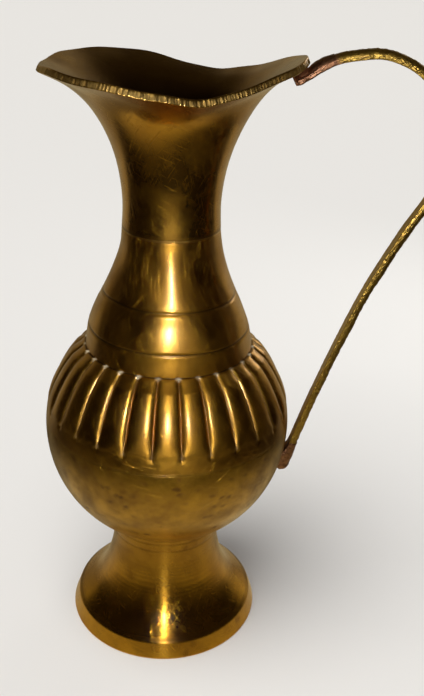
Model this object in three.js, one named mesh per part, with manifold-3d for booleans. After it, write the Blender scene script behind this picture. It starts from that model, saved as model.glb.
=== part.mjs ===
// A small footed brass ewer: wavy flared lip, fluted shoulder, round bowl, pedestal foot, strap handle.
// Millimetres, +Z up, handle towards +X. The origin is on the table under the middle of the whole ewer.
import * as THREE from 'three';
import { mergeVertices } from 'three/addons/utils/BufferGeometryUtils.js';
import Module from 'manifold-3d';

const wasm = await Module();
wasm.setup();

// ---- driving dimensions ----
const footRadius = 27.5;       // foot on the table
const footBandHeight = 4.6;    // plain bevelled band round the foot
const footBandInset = 1.6;     // how much the band leans in
const footWall = 2.0;
const footEdgeInset = 0.6;      // extra lean of the hollow's wall at the table
const stemRadius = 15.2;       // narrowest part of the foot
const stemFlare = 0.4;         // stem's edge under the bowl, wider than its waist
const footHeight = 32.5;       // table to the outer edge of the seat under the bowl

const bowlRadius = 33.4;
const bowlDrop = 34.6;         // belly line down to the lowest point of the bowl's curve
const bellyWall = 2.2;         // wall of bowl and fluted shoulder
const seamRise = 2.8;          // belly seam above the widest line

const fluteCount = 28;
const fluteDepth = 1.0;
const fluteFootRise = 6.8;     // lower ends of the flutes above the widest line
const coneRadius = 22.1;       // edge of the cone, above the flutes
const ledgeStep = 1.3;         // flutes' upper ends outside that edge
const coneHeight = 31.9;       // that edge up to the neck seam
const grooveDepth = 0.45;      // two turned lines round the cone
const grooveWidth = 0.9;
const grooveRises = [5.6, 15.0];

const wall = 1.7;              // wall of cone, neck and lip
const neckRadius = 12.5;       // at the neck seam
const neckHeight = 37.0;       // neck seam to the lip's outer edge, before the wave
const lipRadius = 29.4;        // lip's outer edge, before the wave
const lipWaveStart = 0.42;     // share of the neck's height where the wave begins
const lipWaveRadius = [-2.1, 2.0, 2.05];   // once, twice and three times round
const lipWaveHeight = [0.1, 2.1, 1.55];

const handleWidth = 4.4;
const handleThick = 2.6;
const handleReach = 66.8;      // bowl axis to the middle of the handle's furthest bend
const handleCrown = 2.8;       // middle of the handle's top above the lip's outer edge
const handleTuck = 3.3;        // length of handle under the lip
const handleLipGap = 1.0;      // braze between lip and handle
const handleEndDrop = 12.8;    // lower end below the widest line
const handleBellyGap = 0.5;    // braze between belly and handle

const brazeGap = 0.5;          // height of a brazed ring seam
const slip = 0.12;             // radial clearance of a spigot in its bore
const seatGap = 0.15;          // bowl over the foot's curved seat
const spigotHeight = 3.0;
const spigotWall = 0.75;
const tenonRadius = 9.0;       // boss under the bowl, through the foot's deck
const tenonStick = 1.6;        // tenon showing below the deck
const deckThick = 2.4;
const brazeClear = 0.3;        // between a run of braze and the metal it wets
const footBrazeLegs = [1.8, 1.3];          // width and height of the fillet round the tenon
const upperBrazeHalf = [4.6, 3.4, 2.4];    // along the handle, across it and through it
const lowerBrazeHalf = [5.2, 3.4, 2.6];
const bellySpigotExtra = 0.2;              // belly spigot's wall beyond the neck spigot's

const plainSegments = 32;
const fluteSegments = 2 * fluteCount;

// ---- levels that follow from them ----
const curveDepth = (radius) => bowlDrop * Math.sqrt(1 - (radius / bowlRadius) ** 2);
const seatRadius = stemRadius + stemFlare;
const bowlMiddle = footHeight + curveDepth(seatRadius);          // height of the widest line
const bellySeam = bowlMiddle + seamRise;
const ledgeRadius = coneRadius + ledgeStep;
const ledge = bowlMiddle + Math.sqrt(bowlRadius ** 2 - ledgeRadius ** 2);
const neckSeam = ledge + coneHeight;
const boreRadius = tenonRadius + slip;
const deckUnder = bowlMiddle - curveDepth(boreRadius) - seatGap - deckThick;
const neckRebate = neckRadius - wall + spigotWall + slip;
const innerRadius = bowlRadius - bellyWall;
const seamInner = Math.sqrt(innerRadius ** 2 - seamRise ** 2);
const bellySpigotWall = spigotWall + bellySpigotExtra;
const bellyRebate = seamInner + bellySpigotWall + slip;
const lipEdge = neckSeam + neckHeight;

// ---- small geometry helpers ----
const point = (r, z) => new THREE.Vector2(r, z);
const smooth = (pairs, steps) => new THREE.SplineCurve(pairs.map(([r, z]) => point(r, z))).getPoints(steps);

// A profile moved sideways by t, to the left of its direction of travel.
function offsetProfile(points, t) {
  return points.map((p, i) => {
    const before = points[Math.max(i - 1, 0)];
    const after = points[Math.min(i + 1, points.length - 1)];
    const along = after.clone().sub(before).normalize();
    return point(p.x - t * along.y, p.y + t * along.x);
  });
}

// The end point of a line, moved on past its end by t.
const beyond = (before, end, t) => end.clone().add(end.clone().sub(before).setLength(t));

// Radius of the round part of bowl or shoulder at a height.
const roundRadius = (z, radius) => Math.sqrt(radius ** 2 - (z - bowlMiddle) ** 2);

// A profile turned about +Z. Its outer side runs upwards, so that the faces point out.
function turned(profile, segments) {
  return new THREE.LatheGeometry(profile, segments).rotateX(Math.PI / 2);
}

function closed(points) {
  return [...points, points[0].clone()];
}

// Quarter ellipse of the lower bowl, from radius r0 to r1 in equal angles.
function bowlCurve(halfWidth, depth, r0, r1, steps) {
  const a0 = Math.asin(r0 / halfWidth);
  const a1 = Math.asin(Math.min(r1 / halfWidth, 1));
  return Array.from({ length: steps + 1 }, (_, i) => {
    const a = a0 + (a1 - a0) * i / steps;
    return point(halfWidth * Math.sin(a), bowlMiddle - depth * Math.cos(a));
  });
}

// ---- boolean helpers ----
function solidFrom(geometry) {
  const bare = geometry.clone();
  bare.deleteAttribute('normal');
  bare.deleteAttribute('uv');
  const welded = mergeVertices(bare, 1e-4);
  const index = Array.from(welded.index.array);
  const triangles = [];
  for (let i = 0; i < index.length; i += 3) {
    const [a, b, c] = index.slice(i, i + 3);
    if (a !== b && b !== c && c !== a) triangles.push(a, b, c);
  }
  return new wasm.Manifold(new wasm.Mesh({
    numProp: 3,
    vertProperties: new Float32Array(welded.attributes.position.array),
    triVerts: new Uint32Array(triangles),
  }));
}

function geometryFrom(solid) {
  const mesh = solid.getMesh();
  const geometry = new THREE.BufferGeometry();
  geometry.setAttribute('position', new THREE.BufferAttribute(new Float32Array(mesh.vertProperties), 3));
  geometry.setIndex(new THREE.BufferAttribute(new Uint32Array(mesh.triVerts), 1));
  geometry.computeVertexNormals();
  return geometry;
}

// ---- foot ----
const bandTop = footRadius - footBandInset;

function footOuter() {
  const rise = footHeight - footBandHeight;
  return smooth([
    [bandTop, footBandHeight],
    [stemRadius + 0.5 * (bandTop - stemRadius), footBandHeight + 0.18 * rise],
    [stemRadius + 0.21 * (bandTop - stemRadius), footBandHeight + 0.38 * rise],
    [stemRadius + 0.04 * (bandTop - stemRadius), footBandHeight + 0.61 * rise],
    [stemRadius, footBandHeight + 0.79 * rise],
    [seatRadius, footHeight - seatGap],
  ], 10);
}

function footGeometry() {
  const outer = footOuter();
  const seat = bowlCurve(bowlRadius, bowlDrop, boreRadius, seatRadius, 3)
    .map((p) => point(p.x, p.y - seatGap)).reverse().slice(1);
  const inner = offsetProfile(outer, footWall).filter((p) => p.y < deckUnder - 1 && p.x > boreRadius + 2).reverse();
  const bottomInner = footRadius - footWall - footEdgeInset;
  return turned(closed([
    point(footRadius, 0), ...outer, ...seat,
    point(boreRadius, deckUnder), point(inner[0].x, deckUnder), ...inner,
    point(bottomInner, 0),
  ]), plainSegments);
}

function footBrazeGeometry() {
  const [width, height] = footBrazeLegs;
  return turned(closed([
    point(boreRadius, deckUnder - height),
    point(boreRadius + width, deckUnder),
    point(boreRadius, deckUnder),
  ]), plainSegments);
}

// ---- bowl ----
function bowlGeometry() {
  const rim = bellySeam - brazeGap / 2;
  const outer = bowlCurve(bowlRadius, bowlDrop, tenonRadius, bowlRadius, 9);
  const inner = bowlCurve(innerRadius, bowlDrop - bellyWall, 0, innerRadius, 7).reverse();
  const spigotOuter = seamInner + bellySpigotWall;
  return turned([
    point(0, deckUnder - tenonStick),
    point(tenonRadius, deckUnder - tenonStick),
    ...outer,
    point(roundRadius(rim, bowlRadius), rim),
    point(spigotOuter, rim),
    point(spigotOuter, bellySeam + spigotHeight),
    point(seamInner, bellySeam + spigotHeight),
    point(seamInner, bellySeam),
    ...inner,
  ], plainSegments);
}

function bellyBrazeGeometry() {
  const low = bellySeam - brazeGap / 2;
  const high = bellySeam + brazeGap / 2;
  return turned(closed([
    point(roundRadius(low, bowlRadius), low),
    point(roundRadius(high, bowlRadius), high),
    point(bellyRebate, high),
    point(bellyRebate, low),
  ]), plainSegments);
}

// ---- shoulder: fluted upper bowl and plain cone in one casting ----
function coneOuter() {
  const top = neckSeam - brazeGap;
  const drop = coneRadius - neckRadius;
  const curve = new THREE.SplineCurve([
    [coneRadius, ledge + 0.2],
    [neckRadius + 0.9 * drop, ledge + 0.18 * coneHeight],
    [neckRadius + 0.7 * drop, ledge + 0.345 * coneHeight],
    [neckRadius + 0.5 * drop, ledge + 0.47 * coneHeight],
    [neckRadius + 0.235 * drop, ledge + 0.66 * coneHeight],
    [neckRadius + 0.06 * drop, ledge + 0.83 * coneHeight],
    [neckRadius, top],
  ].map(([r, z]) => point(r, z)));
  const fine = curve.getPoints(120);
  const radiusAt = (z) => {
    const i = Math.max(1, fine.findIndex((p) => p.y >= z));
    const share = (z - fine[i - 1].y) / (fine[i].y - fine[i - 1].y);
    return fine[i - 1].x + share * (fine[i].x - fine[i - 1].x);
  };
  const plain = curve.getPoints(8);
  const centres = grooveRises.map((rise) => ledge + rise);
  const kept = plain.filter((p) => centres.every((z) => Math.abs(p.y - z) > grooveWidth));
  const grooves = centres.flatMap((z) => [
    point(radiusAt(z - grooveWidth / 2), z - grooveWidth / 2),
    point(radiusAt(z) - grooveDepth, z),
    point(radiusAt(z + grooveWidth / 2), z + grooveWidth / 2),
  ]);
  return { outer: [...kept, ...grooves].sort((a, b) => a.y - b.y), plain };
}

function shoulderGeometry() {
  const low = bellySeam + brazeGap / 2;
  const fluteFoot = bowlMiddle + fluteFootRise;
  const crestTop = ledge - 2.6;
  const crests = Array.from({ length: 5 }, (_, i) => {
    const z = fluteFoot + (crestTop - fluteFoot) * i / 4;
    return point(roundRadius(z, bowlRadius), z);
  });
  const { outer: cone, plain } = coneOuter();
  const spigotTop = neckSeam + spigotHeight;
  const spigotInner = neckRadius - wall;
  const coneInner = offsetProfile(plain, wall).slice(1, -1).reverse();
  const rebateTop = bellySeam + spigotHeight + 0.2;
  const roof = bowlMiddle + Math.sqrt(innerRadius ** 2 - (coneRadius - wall) ** 2) - 1.2;
  const dome = Array.from({ length: 4 }, (_, i) => {
    const z = roof + (rebateTop - roof) * i / 3;
    return point(roundRadius(z, innerRadius), z);
  });
  const profile = closed([
    point(roundRadius(low, bowlRadius), low),
    ...crests,
    point(ledgeRadius - 0.2, ledge - 0.9),
    point(coneRadius - 0.9, ledge - 0.2),
    ...cone,
    point(neckRebate - slip, neckSeam - brazeGap),
    point(neckRebate - slip, spigotTop),
    point(spigotInner, spigotTop),
    ...coneInner, ...dome,
    point(bellyRebate, rebateTop),
    point(bellyRebate, low),
  ]);
  const geometry = turned(profile, fluteSegments);
  // Every other column is a groove between two flutes, from just above their feet to the cone's edge.
  const firstFluted = 2;
  const lastFluted = crests.length + 1;
  const position = geometry.attributes.position;
  for (let i = 0; i < position.count; i++) {
    const row = i % profile.length;
    const column = Math.floor(i / profile.length);
    if (row < firstFluted || row > lastFluted || column % 2) continue;
    const x = position.getX(i);
    const y = position.getY(i);
    const shrink = 1 - fluteDepth / Math.hypot(x, y);
    position.setXY(i, x * shrink, y * shrink);
  }
  geometry.computeVertexNormals();
  return geometry;
}

function neckBrazeGeometry() {
  return turned(closed([
    point(neckRadius, neckSeam - brazeGap),
    point(neckRadius, neckSeam),
    point(neckRebate, neckSeam),
    point(neckRebate, neckSeam - brazeGap),
  ]), plainSegments);
}

// ---- neck and lip ----
// The wave is a sum of cosines round the lip, each weight fading to nothing down the neck.
const wave = (weights, angle) => weights.reduce((sum, w, k) => sum + w * Math.cos((k + 1) * angle), 0);

function neckOuter() {
  const spread = lipRadius - neckRadius;
  return smooth([
    [neckRadius, neckSeam],
    [neckRadius - 0.2, neckSeam + 0.18 * neckHeight],
    [neckRadius + 0.035 * spread, neckSeam + 0.37 * neckHeight],
    [neckRadius + 0.135 * spread, neckSeam + 0.55 * neckHeight],
    [neckRadius + 0.28 * spread, neckSeam + 0.71 * neckHeight],
    [neckRadius + 0.455 * spread, neckSeam + 0.835 * neckHeight],
    [neckRadius + 0.69 * spread, neckSeam + 0.93 * neckHeight],
    [lipRadius, lipEdge],
  ], 11);
}

// Neck with its wave. Grown by extra all over, it also trims the braze and the handle that meet it.
function neckGeometry(extra = 0) {
  const outerLine = neckOuter();
  outerLine.push(beyond(outerLine.at(-2), outerLine.pop(), extra));
  const outer = offsetProfile(outerLine, -extra);
  const inner = offsetProfile(outerLine, wall + extra);
  const foot = neckSeam + spigotHeight + 0.2;
  const innerKept = inner.map((p, i) => ({ p, i })).filter(({ p }) => p.y > foot + 0.5).reverse();
  const points = [
    ...outer.map((p, i) => ({ p, i })),
    ...innerKept,
    { p: point(neckRadius - wall, foot), i: 0 },
    { p: point(neckRebate, foot), i: 0 },
    { p: point(neckRebate, neckSeam), i: 0 },
  ];
  const rows = [...points, points[0]];
  const geometry = turned(rows.map(({ p }) => p), plainSegments);
  const position = geometry.attributes.position;
  for (let v = 0; v < position.count; v++) {
    const line = outerLine[rows[v % rows.length].i];
    const rise = (line.y - neckSeam) / neckHeight;
    const weight = Math.max(0, (rise - lipWaveStart) / (1 - lipWaveStart)) ** 2;
    const x = position.getX(v);
    const y = position.getY(v);
    const radius = Math.hypot(x, y);
    const angle = Math.atan2(y, x);
    const stretch = 1 + weight * wave(lipWaveRadius, angle) / radius;
    position.setXY(v, x * stretch, y * stretch);
    position.setZ(v, position.getZ(v) + weight * wave(lipWaveHeight, angle));
  }
  geometry.computeVertexNormals();
  return geometry;
}

// ---- handle ----
// Lip's outer edge over the handle, and the belly's surface behind its lower end.
const lipOver = point(lipRadius + wave(lipWaveRadius, 0), lipEdge + wave(lipWaveHeight, 0));
const endHeight = bowlMiddle - handleEndDrop;
const bellyBehind = bowlRadius * Math.sqrt(1 - (handleEndDrop / bowlDrop) ** 2);

function handlePath(extra) {
  const start = point(lipOver.x, lipOver.y - handleLipGap - handleThick / 2);
  const end = point(bellyBehind + handleBellyGap + handleThick / 2, endHeight);
  const top = lipOver.y + handleCrown;
  const bend = end.y + 0.808 * (top - end.y);
  // Shares of the way out to the bend, and of the way down from the top or up from the lower end.
  const arch = [[0.127, 0.4], [0.31, 0.05], [0.51, 0]];
  const shoulder = [[0.735, 0.16], [0.925, 0.52], [1, 1]];
  const tail = [[0.905, 0.884], [0.73, 0.76], [0.495, 0.566], [0.252, 0.306], [0.075, 0.088]];
  const out = handleReach - lipOver.x;
  const back = handleReach - end.x;
  const points = [
    point(start.x - handleTuck, start.y - 0.52 * handleTuck),
    ...arch.map(([u, v]) => point(start.x + u * out, top - v * (top - start.y))),
    ...shoulder.map(([u, v]) => point(start.x + u * out, top - v * (top - bend))),
    ...tail.map(([u, v]) => point(end.x + u * back, end.y + v * (bend - end.y))),
    end,
  ];
  points.push(beyond(points.at(-2), points.pop(), extra));
  points.unshift(beyond(points[1], points.shift(), extra));
  return new THREE.CatmullRomCurve3(
    points.map((p) => new THREE.Vector3(p.x, 0, p.y)), false, 'catmullrom', 0.5);
}

// D section, flat towards the inside of the loop, grown by extra all round.
function handleSection(extra) {
  const half = handleWidth / 2 + extra;
  const side = 0.3 * handleThick;
  const shape = new THREE.Shape();
  shape.moveTo(-half, handleThick / 2 + extra);
  shape.lineTo(half, handleThick / 2 + extra);
  shape.lineTo(half, handleThick / 2 - side);
  shape.absellipse(0, handleThick / 2 - side, half, handleThick - side + extra, 0, Math.PI, true);
  return shape;
}

const sweptHandle = (extra = 0) => new THREE.ExtrudeGeometry(handleSection(extra), {
  steps: 34, curveSegments: 4, bevelEnabled: false, extrudePath: handlePath(extra),
});

// Metal that the braze at either end has to clear.
const vesselGrown = (clear) => {
  const neck = solidFrom(neckGeometry(clear));
  const bowl = solidFrom(new THREE.SphereGeometry(bowlRadius + clear, plainSegments, 32)
    .scale(1, bowlDrop / bowlRadius, 1).rotateX(Math.PI / 2).translate(0, 0, bowlMiddle));
  return neck.add(bowl);
};

function handleGeometry() {
  return geometryFrom(solidFrom(sweptHandle()).subtract(vesselGrown(brazeClear)));
}

// A rounded run of braze of half lengths a (along), b (across) and c (thick), tilted in the handle's plane.
function brazeRun(centre, tilt, [a, b, c]) {
  const blob = new THREE.SphereGeometry(1, 12, 8).scale(a, b, c).rotateY(tilt)
    .translate(centre.x, 0, centre.y);
  const cut = solidFrom(blob).subtract(solidFrom(sweptHandle(brazeClear))).subtract(vesselGrown(brazeClear));
  const parts = cut.decompose().sort((p, q) => q.volume() - p.volume());
  return geometryFrom(parts[0]);
}

const upperBraze = () => brazeRun(
  point(lipOver.x + 0.35 * upperBrazeHalf[0], lipOver.y - handleLipGap - 0.4), -0.5, upperBrazeHalf);

const lowerBraze = () => brazeRun(
  point(bellyBehind + handleBellyGap + 1.0, endHeight + 1.2), 1.25, lowerBrazeHalf);

// ---- finishes ----
const brass = new THREE.MeshStandardMaterial({ color: '#b08a3c', metalness: 1, roughness: 0.28 });
const castBrass = new THREE.MeshStandardMaterial({ color: '#ab8736', metalness: 1, roughness: 0.42 });
const braze = new THREE.MeshStandardMaterial({ color: '#a9745a', metalness: 1, roughness: 0.5 });
const seamBraze = new THREE.MeshStandardMaterial({ color: '#bd9a55', metalness: 1, roughness: 0.35 });

// ---- assembly ----
const pieces = [
  ['foot', footGeometry(), brass],
  ['foot_braze', footBrazeGeometry(), braze],
  ['bowl', bowlGeometry(), brass],
  ['belly_braze', bellyBrazeGeometry(), seamBraze],
  ['shoulder', shoulderGeometry(), brass],
  ['neck_braze', neckBrazeGeometry(), seamBraze],
  ['neck', neckGeometry(), brass],
  ['handle', handleGeometry(), castBrass],
  ['handle_braze_upper', upperBraze(), braze],
  ['handle_braze_lower', lowerBraze(), braze],
];

const ewer = new THREE.Group();
for (const [name, geometry, material] of pieces) {
  const mesh = new THREE.Mesh(geometry, material);
  mesh.name = name;
  ewer.add(mesh);
}
const box = new THREE.Box3().setFromObject(ewer);
ewer.position.x = -(box.min.x + box.max.x) / 2;

const group = new THREE.Group();
group.add(ewer);
export default group;
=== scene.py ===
# Small footed brass ewer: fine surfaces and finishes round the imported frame.
# Sizes are in mm, and turned to metres at the mesh.
import math
import bpy
import numpy as np
from mathutils import Matrix, Vector


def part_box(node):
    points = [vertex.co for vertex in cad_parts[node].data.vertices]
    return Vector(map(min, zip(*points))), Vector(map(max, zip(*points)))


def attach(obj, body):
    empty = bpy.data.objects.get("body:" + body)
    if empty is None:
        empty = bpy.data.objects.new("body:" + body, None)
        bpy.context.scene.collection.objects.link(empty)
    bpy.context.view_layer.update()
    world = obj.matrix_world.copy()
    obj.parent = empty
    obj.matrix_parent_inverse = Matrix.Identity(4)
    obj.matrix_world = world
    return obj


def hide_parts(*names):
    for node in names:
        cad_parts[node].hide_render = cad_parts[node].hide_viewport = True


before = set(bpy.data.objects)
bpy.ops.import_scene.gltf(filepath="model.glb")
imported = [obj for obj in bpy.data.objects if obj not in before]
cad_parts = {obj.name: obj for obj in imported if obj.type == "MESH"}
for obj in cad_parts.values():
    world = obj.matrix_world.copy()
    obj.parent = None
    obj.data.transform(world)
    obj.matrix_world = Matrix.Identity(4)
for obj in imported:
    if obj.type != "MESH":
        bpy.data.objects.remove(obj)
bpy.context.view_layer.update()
mm = 0.001
rng = np.random.default_rng(782)  # one seed for every random draw

# Places that come from the frame, in mm.
bowlLow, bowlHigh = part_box("bowl")
axisX = (bowlLow.x + bowlHigh.x) / 2 / mm  # the bowl's own axis
bowlRadius = (bowlHigh.x - bowlLow.x) / 2 / mm
footRadius = (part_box("foot")[1].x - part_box("foot")[0].x) / 2 / mm
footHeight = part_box("foot")[1].z / mm
bellySeam = (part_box("belly_braze")[0].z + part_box("belly_braze")[1].z) / 2 / mm
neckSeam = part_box("neck_braze")[1].z / mm
neckRadius = (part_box("neck_braze")[1].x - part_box("neck_braze")[0].x) / 2 / mm
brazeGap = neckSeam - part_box("neck_braze")[0].z / mm
print(f"frame: axis x {axisX:.2f}, bowl r {bowlRadius:.2f}, seams at {bellySeam:.2f} and {neckSeam:.2f}")

body = {
    "drop": 34.6,            # widest line down to the lowest point of the curve
    "seamRise": 2.8,         # belly seam above the widest line
    "wall": 2.2,
    "neckWall": 1.7,
    "tenon": 9.0,
    "tenonStick": 1.6,
    "seatGap": 0.15,
    "deck": 2.4,
    "slip": 0.12,
    "spigot": 3.0,
    "spigotWall": 0.75,
    "spare": 0.2,            # room left over a spigot, and beside the belly's
}
bowlMiddle = bellySeam - body["seamRise"]
boreRadius = body["tenon"] + body["slip"]


# Points of a ball round the bowl's middle, at the heights z.
def ball(radius, z):
    return np.stack([np.sqrt(radius ** 2 - (z - bowlMiddle) ** 2), z], -1)


def bowlDepth(radius):
    return body["drop"] * np.sqrt(1 - (radius / bowlRadius) ** 2)


deckUnder = bowlMiddle - bowlDepth(boreRadius) - body["seatGap"] - body["deck"]
innerRadius = bowlRadius - body["wall"]
seamInner = math.sqrt(innerRadius ** 2 - body["seamRise"] ** 2)
bellySpigot = seamInner + body["spigotWall"] + body["spare"]
neckSpigot = neckRadius - body["neckWall"] + body["spigotWall"]


# ---------- shapes ----------
# Smooth curve through points: cubic pieces whose slope at a point is half the step between its neighbours.
def curveThrough(points, count):
    p = np.asarray(points, float)
    p = np.vstack([p[:1], p, p[-1:]])
    s = np.linspace(0, len(p) - 3, count)
    i = np.minimum(s.astype(int), len(p) - 4)
    u = (s - i)[:, None]
    a, b, c, d = p[i], p[i + 1], p[i + 2], p[i + 3]
    square, cube = 2 * a - 5 * b + 4 * c - d, 3 * b - a - 3 * c + d
    return 0.5 * (2 * b + (c - a) * u + square * u ** 2 + cube * u ** 3)


# A line moved sideways by t to the left of its run, in the r, z plane.
def offsetLine(line, t):
    run = np.gradient(line[:, :2], axis=0)
    run /= np.hypot(run[:, 0], run[:, 1])[:, None]
    out = line.copy()
    out[:, 0] -= t * run[:, 1]
    out[:, 1] += t * run[:, 0]
    return out


# Distance along a line at each of its points, in the r, z plane.
def lengthsOf(line):
    return np.concatenate([[0], np.cumsum(np.hypot(*np.diff(line[:, :2], axis=0).T))])


# The line's points at the distances s.
def pointsAt(line, lengths, s):
    return np.stack([np.interp(s, lengths, column) for column in line.T], -1)


supportStep = 0.12  # mm from a section's end to the row that keeps its edge crisp
cornerRows = 3


# Sections joined end to end. Each is resampled in equal steps with a close pair at each end, and each corner
# is a quadratic curve from one section to the next. Columns past r and z are carried along. It also gives the
# row at which each section starts.
def joinProfile(sections, rounds, loop=True):
    parts = []
    for k, (line, count) in enumerate(sections):
        line = np.asarray(line, float)
        run = lengthsOf(line)
        before = rounds[k - 1] if loop or k else 0
        after = rounds[k] if loop or k < len(sections) - 1 else 0
        low, high = before, run[-1] - after
        s = np.linspace(low, high, count)
        support = min(supportStep, (high - low) / 5)
        s = np.unique(np.concatenate([s, [low + support, high - support]]))
        parts.append(pointsAt(line, run, s))
    out = []
    for k, part in enumerate(parts):
        out.append(part)
        if not loop and k == len(parts) - 1:
            break
        corner = np.asarray(sections[k][0][-1], float)
        following = parts[(k + 1) % len(parts)][0]
        t = np.linspace(0, 1, cornerRows + 2)[1:-1, None]
        out.append((1 - t) ** 2 * part[-1] + 2 * t * (1 - t) * corner + t ** 2 * following)
    starts = np.cumsum([0] + [len(rows) for rows in out])[::2]
    return np.concatenate(out), starts


def placed(name, data):
    thing = bpy.data.objects.new(name, data)
    bpy.context.scene.collection.objects.link(thing)
    return thing


# A mesh from rows of points. Columns wrap round; rows wrap too, or end in a single point at either end.
def gridMesh(name, rows, loopRows=False, start=None, end=None, marks=None):
    n, m = rows.shape[:2]
    i = np.arange(n if loopRows else n - 1)[:, None]
    j = np.arange(m)[None, :]
    up, over = (i + 1) % n, (j + 1) % m
    quads = np.stack([i * m + j, i * m + over, up * m + over, up * m + j], -1).reshape(-1, 4)
    vertices = [rows.reshape(-1, 3)]
    fans = []
    ring = np.arange(m)
    after = (ring + 1) % m
    count = n * m
    if start is not None:
        vertices.append(np.reshape(start, (1, 3)))
        fans.append(np.stack([np.full(m, count), after, ring], -1))
        count += 1
    if end is not None:
        vertices.append(np.reshape(end, (1, 3)))
        fans.append(np.stack([(n - 1) * m + ring, (n - 1) * m + after, np.full(m, count)], -1))
        count += 1
    points = np.concatenate(vertices)
    fan = np.concatenate(fans) if fans else np.zeros((0, 3), int)
    three = np.concatenate([quads[:, [0, 1, 2]], quads[:, [0, 2, 3]], fan])
    a, b, c = points[three[:, 0]], points[three[:, 1]], points[three[:, 2]]
    if np.einsum("ij,ij->", a, np.cross(b, c)) < 0:  # inside out: every face is turned over
        quads, fan = quads[:, ::-1], fan[:, ::-1]
    mesh = bpy.data.meshes.new(name)
    mesh.from_pydata((points * mm).tolist(), [], quads.tolist() + fan.tolist())
    mesh.polygons.foreach_set("use_smooth", np.ones(len(mesh.polygons), bool))
    # Every piece also carries the distance in mm from its first row, measured over the surface.
    arc = np.cumsum(np.linalg.norm(np.diff(rows, axis=0, prepend=rows[:1]), axis=2).mean(1))[:, None]
    for key, values in {**(marks or {}), "arc": arc}.items():
        full = np.zeros(count, np.float32)
        full[:n * m] = np.broadcast_to(values, (n, m)).reshape(-1)
        mesh.attributes.new(key, "FLOAT", "POINT").data.foreach_set("value", full)
    mesh.update()
    print(f"{name}: {2 * len(quads) + len(fan)} triangles")
    return placed(name, mesh)


# A profile turned round the bowl's axis. radius and height are arrays of rows by columns.
def turn(radius, height, angle):
    radius, height, angle = np.broadcast_arrays(radius, height, angle)
    return np.stack([axisX + radius * np.cos(angle), radius * np.sin(angle), height], -1)


# Slow unevenness left by hand work: a few long sine waves over the surface, depth in mm.
def handWork(angle, z, depth):
    long, middling = 0.5 * np.sin(3 * angle + z / 9), 0.3 * np.sin(5 * angle - z / 6 + 2)
    return depth * (long + middling + 0.2 * np.sin(8 * angle + z / 4 + 4))


# Smooth random field on a wrapping lattice: random heights joined by smooth steps, from -1 to 1.
def lumps(u, v, cellsU, cellsV):
    grid = rng.uniform(-1, 1, (cellsU, cellsV))
    u, v = np.mod(u, 1) * cellsU, np.mod(v, 1) * cellsV
    i, j = np.floor(u).astype(int) % cellsU, np.floor(v).astype(int) % cellsV
    fu, fv = u - np.floor(u), v - np.floor(v)
    fu, fv = fu * fu * (3 - 2 * fu), fv * fv * (3 - 2 * fv)
    i2, j2 = (i + 1) % cellsU, (j + 1) % cellsV
    low = grid[i, j] * (1 - fu) + grid[i2, j] * fu
    high = grid[i, j2] * (1 - fu) + grid[i2, j2] * fu
    return low * (1 - fv) + high * fv


def step(x, low, high):
    t = np.clip((x - low) / (high - low), 0, 1)
    return t * t * (3 - 2 * t)


def ringAngles(count):
    return np.arange(count) * 2 * math.pi / count


# ---------- finishes ----------
def linear(hexColour):
    values = [int(hexColour[k:k + 2], 16) / 255 for k in (1, 3, 5)]
    return [v / 12.92 if v <= 0.04045 else ((v + 0.055) / 1.055) ** 2.4 for v in values] + [1]


# Adds one node: props are its own settings, values its socket numbers, links the sockets that feed it.
def add(tree, kind, values=None, links=None, **props):
    node = tree.nodes.new(kind)
    for key, value in props.items():
        setattr(node, key, value)
    for key, value in (values or {}).items():
        node.inputs[key].default_value = value
    for key, socket in (links or {}).items():
        tree.links.new(socket, node.inputs[key])
    return node


def ranged(tree, socket, low, high, toLow=0.0, toHigh=1.0):
    values = {"From Min": low, "From Max": high, "To Min": toLow, "To Max": toHigh}
    return add(tree, "ShaderNodeMapRange", values, {"Value": socket}).outputs["Result"]


# Lays a hex colour over what is beneath it: a socket, or a hex colour for the lowest layer.
def blendColour(tree, factor, under, over):
    values, links = {7: linear(over)}, {0: factor}
    if isinstance(under, str):
        values[6] = linear(under)
    else:
        links[6] = under
    return add(tree, "ShaderNodeMix", values, links, data_type="RGBA").outputs[2]


def maths(tree, operation, first, second):
    return add(tree, "ShaderNodeMath", None, {0: first, 1: second}, operation=operation).outputs[0]


def summed(tree, sockets):
    total = sockets[0]
    for socket in sockets[1:]:
        total = maths(tree, "ADD", total, socket)
    return total


def scaled(tree, socket, by):
    return add(tree, "ShaderNodeMath", {1: by}, {0: socket}, operation="MULTIPLY").outputs[0]


# What every brass shares: sizes and depths in mm, and for each noise the band of its values that shows.
wear = {
    "tarnishBand": (0.36, 0.66), "tarnishRough": 0.05, "smearSize": 26, "smearBand": (0.35, 0.7),
    "dullSize": 0.035, "dullBand": (0.38, 0.54),
    "patchSize": 12, "patchBand": (0.4, 0.6), "patchShare": (0.45, 1.25),
    # Each set of hairlines: its width, its tilt and where its band of noise begins.
    "hairs": ((0.2, 0.55, 0.65), (0.22, -0.8, 0.65), (0.3, 1.3, 0.66), (0.42, 0.15, 0.69)),
    "hairDrawn": 40, "hairFade": 0.09, "hairGirth": 0.75,
    "spotSquash": 1.5, "swaySize": 5 / 3, "sway": 2.2, "fringeSize": 1.3, "fringe": 0.5,
    "spotBand": (0.62, 0.4), "zoneSize": 9, "zoneBand": (0.42, 0.62), "spotRough": 0.18, "spotDepth": 0.02,
    "pitBand": (0.55, 0.66),
    "grimeAndShadeColour": "#2c1a0a", "grimeAndShadeRough": 0.2, "copperColour": "#a9764f", "copperRough": 0.2,
    "filedColour": "#d3a957", "chalkColour": "#d3c6a6", "chalkMetal": 0.1, "lacquerRough": 0.26,
}


def bareMaterial(name):
    material = bpy.data.materials.new(name)
    material.use_nodes = True
    material.node_tree.nodes.clear()
    return material, material.node_tree


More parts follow.
